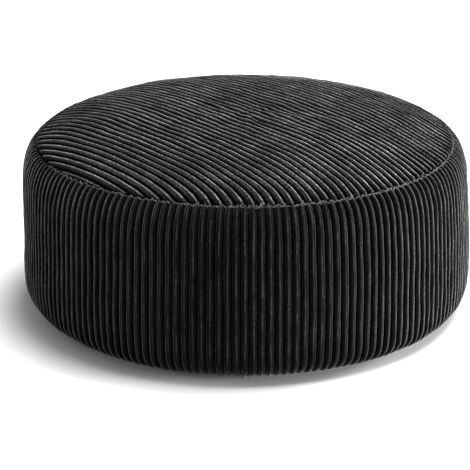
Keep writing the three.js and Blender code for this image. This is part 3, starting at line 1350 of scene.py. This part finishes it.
@dataclass(frozen=True)
class TopCover(CordCover):
    """The round top of straight cords, all side by side at one bearing.

    Attributes:
        bearing: which way the cords run, as an azimuth.
        rows: rows of points from the middle of a cord to its end.
        crowding: power that draws the rows together towards the ends.
        strip: places across the bare strip beside the outer cords, as shares of its width.
        strip_rise: height of its pile at those places, as shares of the cord's.
        turn_in: length of the cords' ends that turns towards the seam.
        painted_seam_strip: width of the black cloth at the seam, painted shade.
        at_seam: distance within which a point lies in the seam itself.
    """

    wale: Wale = Wale(groove=0.12, wall=0.12)
    straying: Drift = Drift(5, 0.08, 0.3)
    calm: float = 30 * MM
    unevenness: Drift = Drift(6, 0.03, 0.09)
    bearing: float = math.radians(130)
    rows: int = 93
    crowding: float = 1.7
    strip: Tuple[float, ...] = (0.12, 0.3, 0.5, 0.68, 0.82, 0.92, 0.98)
    strip_rise: Tuple[float, ...] = (0.25, 0.5, 0.62, 0.68, 0.7, 0.7, 0.7)
    turn_in: float = 80 * MM
    painted_seam_strip: float = 3.5 * MM
    at_seam: float = 0.001 * MM

    def columns(self) -> Tuple[np.ndarray, np.ndarray]:
        """Lays out the columns, from one bare strip to the other.

        Returns:
            Places across the panel, and how high the pile stands there as a share of its depth.
        """
        cord = np.arange(TOP_CORDS)[:, None]
        across = ((cord - TOP_CORDS / 2 + (self.wale.stations() + 1) / 2) * TOP_PITCH).ravel()
        last = TOP_CORDS / 2 * TOP_PITCH
        strip = last + (TOP_SEAM - last) * np.array(self.strip)
        across = np.concatenate([-strip[::-1], across, [last], strip])
        rise = np.tile(self.wale.rise(), TOP_CORDS)
        return across, np.concatenate([self.strip_rise[::-1], rise, [0.0], self.strip_rise])

    def kinds(self, u: np.ndarray, v: np.ndarray) -> np.ndarray:
        """Chooses the finish of each face: black in the grooves, and as painted shade on their walls and in
        the last cloth before the seam.

        Args:
            u: places of the points along, rows x columns.
            v: places of the columns across.

        Returns:
            The numbers of the finishes, for each face of the lattice.
        """
        bare = np.zeros(len(self.strip), int)
        strips = np.concatenate([bare, np.tile(self.wale.kinds(), TOP_CORDS), bare])
        middle = (u[:-1, :-1] + u[1:, 1:]) / 2
        distance = TOP_SEAM - np.hypot(middle, (v[:-1] + v[1:]) / 2)
        # black finish at the seam: painted shade
        return np.where(distance < self.painted_seam_strip, 1, strips[None, :])

    def azimuth(self, u: np.ndarray, aside: np.ndarray, s: np.ndarray) -> np.ndarray:
        """Azimuth of places on the flat cloth, with the ends of the cords turned towards the seam.

        The place across grows by a share of itself, (u / s)^2 times turn_in / (2 seam) at the seam,
        which fades as a square over turn_in. The distance from the middle stays, and the azimuth is
        the bearing plus the angle of the place.

        Args:
            u: places along.
            aside: places across.
            s: distances from the middle.

        Returns:
            The azimuths.
        """
        spread = np.clip(1 - (TOP_SEAM - s) / self.turn_in, 0, 1) ** 2 * self.turn_in / (2 * TOP_SEAM)
        aside = aside * (1 + spread * (u / np.maximum(s, MM)) ** 2)
        ahead = np.sign(u) * np.sqrt(np.maximum(s * s - aside * aside, 0))
        return self.bearing + np.arctan2(aside, ahead)

    def surface(self) -> Tuple[np.ndarray, np.ndarray, np.ndarray]:
        """The panel as a function of the place across it and the share of the way along it.

        The flat round cloth of radius s0 has the place v across and u = share * root(s0^2 - v^2)
        along. Its distance from the middle s = root(u^2 + v^2) is measured down the outline.

        Returns:
            Points, rows x columns x 3; the distance along, rows x columns; the place across.
        """
        v, rise = self.columns()
        q = np.linspace(-1, 1, 2 * self.rows + 1)
        share = np.sign(q) * (1 - (1 - np.abs(q)) ** self.crowding)
        u = share[:, None] * np.sqrt(TOP_SEAM * TOP_SEAM - v * v)[None, :]
        line = np.broadcast_to(v, u.shape)
        aside = line + self.stray(line, u, TOP_SEAM - np.hypot(u, line))
        s = np.minimum(np.hypot(u, aside), TOP_SEAM)
        distance = TOP_SEAM - s
        pile = rise[None, :] * self.pinch.round_off(distance)
        lift = self.wale.lift(pile, self.unevenness.at(line, u)) - self.pinch.drop(distance)
        lift = np.maximum(lift, -self.pinch.depth - self.sink)
        lift = np.where(distance < self.at_seam, -self.pinch.depth, lift)
        return self.body.place(s, self.azimuth(u, aside, s), lift), u, v

    def build(self, finish: CordFinish, groove: GrooveAndShadeFinish) -> bpy.types.Object:
        """Makes the closed top panel, with a pole at each end of the lattice and a flat underside.

        The lattice's columns go round to the left of its rows, so its faces are made pointing down,
        and all faces are turned over at the end.

        Args:
            finish: its pile.
            groove: the cloth between the cords.

        Returns:
            The piece.
        """
        points, u, v = self.surface()
        middle = TOP_CORDS / 2
        maker = MeshMaker("top_cover")
        maker.add_sheet(Sheet(points, v / TOP_PITCH + middle, u, False, self.kinds(u, v)))
        number = np.arange(u.size).reshape(u.shape)
        poles = []
        for column, side in ((0, -1.0), (-1, 1.0)):
            azimuth = np.array(self.bearing + side * math.pi / 2)
            pole = self.body.place(np.array(TOP_SEAM), azimuth, np.array(-self.pinch.depth))
            across = np.full(len(u) + 1, middle + side * TOP_SEAM / TOP_PITCH)
            coords = np.stack([across, np.append(u[:, column], 0)], -1)
            poles.append(maker.fan(number[:, column], pole, coords, closed=False, flip=side > 0))
        loop = np.concatenate([[poles[0]], number[0, :], [poles[1]], number[-1, ::-1]])
        height = np.concatenate(maker.points)[loop, 2].max() + MM
        maker.fan(loop, np.array([0, 0, height]), np.zeros((len(loop) + 1, 2)), flip=True)
        made = maker.build([finish.make(), groove.make()], Slot.TOP)
        made.data.flip_normals()
        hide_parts("top_panel")
        return made


@dataclass(frozen=True)
class SideCover(CordCover):
    """The band round the side, with its cords upright.

    Attributes:
        foot: how the cloth dives into the base seam.
        near_top: distances of the first rows from the top seam, in millimetres.
        near_foot: distances of the last rows from the base seam, in millimetres.
        rows: rows between those, with both their ends.
        painted_shade_rows: rows of black cloth at the top seam, painted shade.
    """

    wale: Wale = Wale(depth=8.0 * MM, fullness=2.0, roundness=0.55)
    straying: Drift = Drift(7, 0.05, 0.2, GIRTH)
    calm: float = 25 * MM
    unevenness: Drift = Drift(8, 0.03, 0.12, GIRTH)
    foot: Pinch = Pinch(2 * MM, 12 * MM, 10 * MM)
    near_top: Tuple[float, ...] = (0, 0.6, 1.4, 2.5, 4, 6, 8.5, 11.5, 15)
    near_foot: Tuple[float, ...] = (0, 1.5, 3.5, 6.5, 10, 15)
    rows: int = 45
    painted_shade_rows: int = 2

    def lines(self) -> np.ndarray:
        """Lays out the rows, close together at both seams.

        Returns:
            Their distances from the middle of the top.
        """
        start, end = self.body.outline.top_seam, self.body.outline.base_seam
        near = np.array(self.near_top) * MM
        low = np.array(self.near_foot) * MM
        middle = np.linspace(start + near[-1], end - low[-1], self.rows)[1:-1]
        return np.concatenate([start + near, middle, (end - low)[::-1]])

    def surface(self) -> Tuple[np.ndarray, np.ndarray, np.ndarray]:
        """The band as a function of the azimuth and the distance down the outline.

        Returns:
            Points, rows x columns x 3; the place across in cords; the distances.
        """
        number = (np.arange(SIDE_CORDS)[:, None] + (self.wale.stations() + 1) / 2).ravel()
        rise = np.tile(self.wale.rise(), SIDE_CORDS)
        s = self.lines()[:, None]
        azimuth = FIRST_GROOVE + number[None, :] * 2 * math.pi / SIDE_CORDS
        across = (number / SIDE_CORDS * GIRTH)[None, :]
        from_top, from_foot = s - s[0], s[-1] - s
        shift = self.stray(across, s, np.minimum(from_top, from_foot))
        pile = rise[None, :] * self.pinch.round_off(from_top) * self.foot.round_off(from_foot)
        lift = self.wale.lift(pile, self.unevenness.at(across, s))
        lift = lift - self.pinch.drop(from_top) - self.foot.drop(from_foot)
        lift = np.maximum(lift, -self.pinch.depth - self.sink)
        lift[0, :] = -self.pinch.depth
        lift[-1, :] = -self.foot.depth
        return self.body.place(s, azimuth + shift / HALF_WIDTH, lift), number, s[:, 0]

    def build(self, finish: CordFinish, groove: GrooveAndShadeFinish) -> bpy.types.Object:
        """Makes the closed side band, with a flat disc at each seam.

        Args:
            finish: its pile.
            groove: the cloth between the cords.

        Returns:
            The piece.
        """
        points, number, s = self.surface()
        maker = MeshMaker("side_cover")
        across = np.append(number, float(SIDE_CORDS))
        along = np.broadcast_to(s[:, None], (len(s), len(across)))
        kinds = np.tile(self.wale.kinds(), (len(s) - 1, SIDE_CORDS))
        # black rows at the top seam: painted shade
        kinds[:self.painted_shade_rows] = 1
        height = points[..., 2]
        maker.add_round(Sheet(points, across, along, True, kinds), height[0].min() - MM, height[-1].mean())
        made = maker.build([finish.make(), groove.make()], Slot.SIDE)
        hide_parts("side_band")
        return made


@dataclass(frozen=True)
class BaseCover:
    """The plain round base, curled up at its rim to the base seam.

    Attributes:
        body: the bag.
        spokes: points round each ring.
        depth: how deep the base seam lies under the outline.
        rim: rings down the rim.
        flat: rings across the flat, and the innermost ring's share of its radius.
        pucker: height of the puckers of the rim, one to every two side cords.
    """

    body: Body
    spokes: int = 356
    depth: float = 2 * MM
    rim: int = 9
    flat: Tuple[int, float] = (9, 0.04)
    pucker: float = 0.25 * MM

    def surface(self) -> np.ndarray:
        """The base as rings down the rim and across the flat.

        The puckers are a cosine round the rim, and they fade at both of its edges.

        Returns:
            Points, rings x spokes x 3.
        """
        outline = self.body.outline
        rim = np.linspace(outline.base_seam, outline.flat_edge, self.rim)[:, None]
        azimuth = np.arange(self.spokes)[None, :] * 2 * math.pi / self.spokes
        fade = np.linspace(1, 0, self.rim)[:, None] ** 2
        pucker = self.pucker * np.cos(azimuth * SIDE_CORDS / 2) * (fade * (1 - fade) * 4)
        curl = outline.place(rim, azimuth, -self.depth * fade + pucker)
        rings, innermost = self.flat
        radii = np.linspace(1, innermost, rings + 1)[1:]
        ring = curl[-1][None] * np.stack([radii, radii, np.ones_like(radii)], -1)[:, None, :]
        points = np.concatenate([curl, ring])
        points[..., 2] = np.maximum(points[..., 2], 0)
        return points

    def build(self, finish: WovenFinish) -> bpy.types.Object:
        """Makes the closed base, with a flat disc on top and its middle closed.

        Args:
            finish: its cloth.

        Returns:
            The piece.
        """
        points = self.surface()
        rings = len(points)
        maker = MeshMaker("base_cover")
        across = np.arange(self.spokes + 1.0)
        along = np.broadcast_to(np.arange(float(rings))[:, None], (rings, self.spokes + 1))
        maker.add_round(Sheet(points, across, along, True), points[0, :, 2].mean(), 0.0)
        made = maker.build([finish.make()], Slot.BASE)
        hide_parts("base_panel")
        return made


@dataclass(frozen=True)
class SeamPile:
    """Pile that stands out of the seam between top and side: clumps of thin tufts, most at the front.

    Attributes:
        body: the bag.
        seed: start of the random draws.
        clumps: places for clumps round the seam.
        jitter: how far a clump strays from its place, as a share of the step.
        thickest: azimuth where the seam is worn most.
        least: how worn it is on the other side, from 0 to 1.
        gather: power that gathers the wear round the thickest.
        bare: wear under which no clump grows.
        strands: tufts in a clump.
        tall: height of the lowest clump, how much higher the tallest is, and the power between.
        length: usual length of a tuft.
        length_limits: least and most share of that length.
        width: usual half thickness of a tuft.
        width_limits: least and most share of that width.
        clump_offset: how far the clumps stray from the seam, down the outline.
        strand_offset: how far the tufts stray from their clump that way.
        strand_aside: how far they stray round the seam.
        seam_radius: radius of the seam.
        scallop: how far the seam's edge follows the heads of the side cords.
        scallop_middle: how far under the seam the scallops lie, as a share of their height.
        depth: how deep the lowest roots lie under the outline.
        depth_spread: how much higher the highest lie.
        swing: how far the tufts lean from the seam's tilt, and its spread.
        fan: spread of their direction round the seam.
        curl: spread of their bend round the seam and outwards.
        bend: strength of the bend.
        joints: places along a tuft, as shares of its length.
        taper: its thickness at those places, as a share of its width.
        sides: how many sides it has.
        twist: how far its first side is turned outwards from the way round the seam.
    """

    body: Body
    seed: int = 21
    clumps: int = 1000
    jitter: float = 0.45
    thickest: float = math.radians(-72)
    least: float = 0.1
    gather: float = 3.5
    bare: float = 0.22
    strands: int = 6
    tall: Tuple[float, float, float] = (0.35, 1.2, 1.6)
    length: float = 3.9 * MM
    length_limits: Tuple[float, float] = (0.8, 1.2)
    width: float = 0.43 * MM
    width_limits: Tuple[float, float] = (0.6, 1.4)
    clump_offset: float = 1.1 * MM
    strand_offset: float = 0.25 * MM
    strand_aside: float = 0.7 * MM
    seam_radius: float = 0.44
    scallop: float = 1.2 * MM
    scallop_middle: float = 0.9
    depth: float = 5.0 * MM
    depth_spread: float = 1.8 * MM
    swing: Tuple[float, float] = (math.radians(16), math.radians(34))
    fan: float = 0.55
    curl: Tuple[float, float] = (0.5, 0.3)
    bend: float = 0.6
    joints: Tuple[float, ...] = (0.0, 0.55, 1.0)
    taper: Tuple[float, ...] = (1.0, 0.75, 0.3)
    sides: int = 3
    twist: float = 0.3

    def grow_clumps(self, rng: np.random.Generator) -> Tuple[np.ndarray, np.ndarray, np.ndarray]:
        """Draws the clumps where the seam is worn.

        The wear is least + (1 - least) * (half of 1 + cos of the angle from the thickest)^gather.

        Args:
            rng: the random draws.

        Returns:
            For each tuft: its clump's azimuth, height and place beside the seam.
        """
        place = np.arange(self.clumps) + rng.uniform(-self.jitter, self.jitter, self.clumps)
        clump = place * 2 * math.pi / self.clumps
        near = (0.5 + 0.5 * np.cos(clump - self.thickest)) ** self.gather
        worn = self.least + (1 - self.least) * near
        clump, worn = clump[worn > self.bare], worn[worn > self.bare]
        lowest, more, power = self.tall
        tall = (lowest + more * rng.uniform(0, 1, len(clump)) ** power) * worn
        offset = rng.normal(0, self.clump_offset, len(clump))
        return tuple(np.repeat(value, self.strands) for value in (clump, tall, offset))

    def surface(self, rng: np.random.Generator) -> np.ndarray:
        """The tufts as spikes: a bent middle line from the root, with a ring round each of its joints.

        The middle line at a share q of the length is root + way * q + bend * q^2.

        Args:
            rng: the random draws.

        Returns:
            Points, tufts x joints x sides x 3.
        """
        clump, tall, offset = self.grow_clumps(rng)
        n = len(clump)
        azimuth = clump + rng.normal(0, self.strand_aside, n) / self.seam_radius
        wave = np.cos((azimuth - FIRST_GROOVE) * SIDE_CORDS) + self.scallop_middle
        s = TOP_SEAM + self.scallop * wave + offset + rng.normal(0, self.strand_offset, n)
        root = self.body.place(s, azimuth, -self.depth + rng.uniform(0, self.depth_spread, n))
        tilt = self.body.outline.at(s)[2] + rng.normal(*self.swing, n)
        normal = outward(tilt, azimuth)
        round_way = np.stack([-np.sin(azimuth), np.cos(azimuth), np.zeros(n)], -1)
        way = normal + round_way * rng.normal(0, self.fan, n)[:, None]
        way = way / np.linalg.norm(way, axis=1, keepdims=True)
        bend = round_way * rng.normal(0, self.curl[0], n)[:, None]
        bend = bend + normal * rng.normal(0, self.curl[1], n)[:, None]
        length = self.length * rng.uniform(*self.length_limits, n) * tall
        width = self.width * rng.uniform(*self.width_limits, n)
        side = np.cross(way, round_way + self.twist * normal)
        side = side / np.linalg.norm(side, axis=1, keepdims=True)
        other = np.cross(way, side)
        share, taper = np.array(self.joints), np.array(self.taper)
        middle = (root[:, None] + way[:, None] * (share * length[:, None])[..., None]
                  + bend[:, None] * (share ** 2 * length[:, None] * self.bend)[..., None])
        angle = (np.arange(self.sides) * 2 * math.pi / self.sides)[:, None]
        ring = side[:, None, None] * np.cos(angle) + other[:, None, None] * np.sin(angle)
        return middle[:, :, None] + ring * (taper * width[:, None])[..., None, None]

    def build(self, finish: TuftFinish) -> bpy.types.Object:
        """Makes the tufts, each closed at its root and its tip.

        Args:
            finish: their fibre.

        Returns:
            The piece.
        """
        rng = np.random.default_rng(self.seed)
        points = self.surface(rng)
        n, joints, sides = points.shape[:3]
        block = np.arange(joints * sides).reshape(joints, sides)
        after = np.roll(block, -1, axis=1)
        walls = np.stack([block[:-1], after[:-1], after[1:], block[1:]], -1).reshape(-1, 4)
        coords = np.zeros((n, joints, sides, 2))
        coords[..., 0] = np.repeat(rng.uniform(0, 1, n // self.strands), self.strands)[:, None, None]
        coords[..., 1] = np.array(self.joints)[:, None]
        coords = coords.reshape(-1, 2)
        maker = MeshMaker("seam_pile")
        maker.add_points(points.reshape(-1, 3))
        for group in (walls, block[-1:], block[:1, ::-1]):
            faces = (np.arange(n)[:, None, None] * block.size + group[None]).reshape(-1, group.shape[1])
            maker.knit(faces, coords[faces])
        return maker.build([finish.make()], Slot.TOP)


# The studio


@dataclass(frozen=True)
class Lamp:
    """A far soft lamp.

    Attributes:
        name: what it is called.
        energy: its strength.
        spread: angle that it spreads over, in degrees.
        way: the way that its light goes.
    """

    name: str
    energy: float
    spread: float
    way: Point


@dataclass(frozen=True)
class Studio:
    """Plain white floor, soft light from above and from the sides, and the camera of the photograph.

    Attributes:
        eye: the camera's place.
        target: what it looks at.
        lens: its focal length in millimetres.
        sensor: width of its sensor in millimetres.
        shift: how far the picture is shifted, as shares of its width.
        clip: nearest and farthest distance that the camera sees.
        world: strength of the even light of the room.
        lamps: the lamps.
        floor_half: half the floor's width.
        floor_dark: the floor's colour in its darker patches.
        floor_light: its colour in the lighter ones.
        floor_patches: how many patches there are to a metre.
    """

    eye: Point = (0.0, -3.95156, 1.67792)
    target: Point = (0.0, 0.0, 0.2)
    lens: float = 144.24
    sensor: float = 36.0
    shift: Tuple[float, float] = (-0.0252, -0.0530)
    clip: Tuple[float, float] = (0.05, 200.0)
    world: float = 0.36
    lamps: Tuple[Lamp, ...] = (
        Lamp("key", 4.3, 29.0, (-0.26, -0.11, -1.0)),
        Lamp("right", 10.0, 16.0, (-1.0, 0.12, -0.02)),
        Lamp("rim", 12.0, 16.0, (-0.8, -0.5, -0.07)),
        Lamp("left", 2.2, 12.0, (1.0, -0.3, -0.04)),
    )
    floor_half: float = 30.0
    floor_dark: Colour = (0.87, 0.87, 0.87)
    floor_light: Colour = (0.9, 0.9, 0.9)
    floor_patches: float = 3.0

    def stand(self, name: str, data: bpy.types.ID, way: Optional[Vector] = None) -> bpy.types.Object:
        """Puts an object in the scene.

        Args:
            name: its name.
            data: its camera, lamp or mesh.
            way: the direction that it points in, or None.

        Returns:
            The object.
        """
        made = bpy.data.objects.new(name, data)
        bpy.context.scene.collection.objects.link(made)
        if way is not None:
            made.rotation_euler = way.to_track_quat("-Z", "Y").to_euler()
        return made

    def camera(self) -> None:
        """Places the camera."""
        data = bpy.data.cameras.new("view")
        data.lens = self.lens
        data.sensor_width = self.sensor
        data.shift_x, data.shift_y = self.shift
        data.clip_start, data.clip_end = self.clip
        made = self.stand("view", data, Vector(self.target) - Vector(self.eye))
        made.location = self.eye
        bpy.context.scene.camera = made

    def light(self) -> None:
        """Sets the even light of the room, the lamps and a plain view transform."""
        scene = bpy.context.scene
        scene.world = bpy.data.worlds.new("room")
        scene.world.use_nodes = True
        back = scene.world.node_tree.nodes["Background"]
        back.inputs["Color"].default_value = (1, 1, 1, 1)
        back.inputs["Strength"].default_value = self.world
        for lamp in self.lamps:
            data = bpy.data.lights.new(lamp.name, "SUN")
            data.energy = lamp.energy
            data.angle = math.radians(lamp.spread)
            self.stand(lamp.name, data, Vector(lamp.way))
        scene.view_settings.view_transform = "Standard"
        scene.view_settings.look = "None"

    def floor(self) -> None:
        """Lays a wide pale floor."""
        mesh = bpy.data.meshes.new("floor")
        corners = np.array([(-1, -1, 0), (1, -1, 0), (1, 1, 0), (-1, 1, 0)]) * self.floor_half
        mesh.from_pydata(corners.tolist(), [], [(0, 1, 2, 3)])
        pen = Pen("pale_floor")
        patches = pen.noise(pen.place(), self.floor_patches)
        colour = pen.mix(patches, self.floor_dark, self.floor_light)
        mesh.materials.append(pen.dress({"Base Color": colour, "Roughness": 0.9}))
        made = self.stand("floor", mesh)


def main() -> None:
    """Builds the studio and each piece of the bag in order, and reports them."""
    studio = Studio()
    studio.camera()
    studio.light()
    studio.floor()
    body = Body()
    body = replace(body, relief=Filling(body).relief())
    groove = GrooveAndShadeFinish()
    TopCover(body).build(LIT_TOP_CORD, groove)
    SideCover(body).build(SHADED_SIDE_CORD, groove)
    BaseCover(body).build(WovenFinish())
    SeamPile(body).build(TuftFinish())


if __name__ == "__main__":
    logging.basicConfig(level=logging.INFO, format="%(name)s %(message)s")
    main()
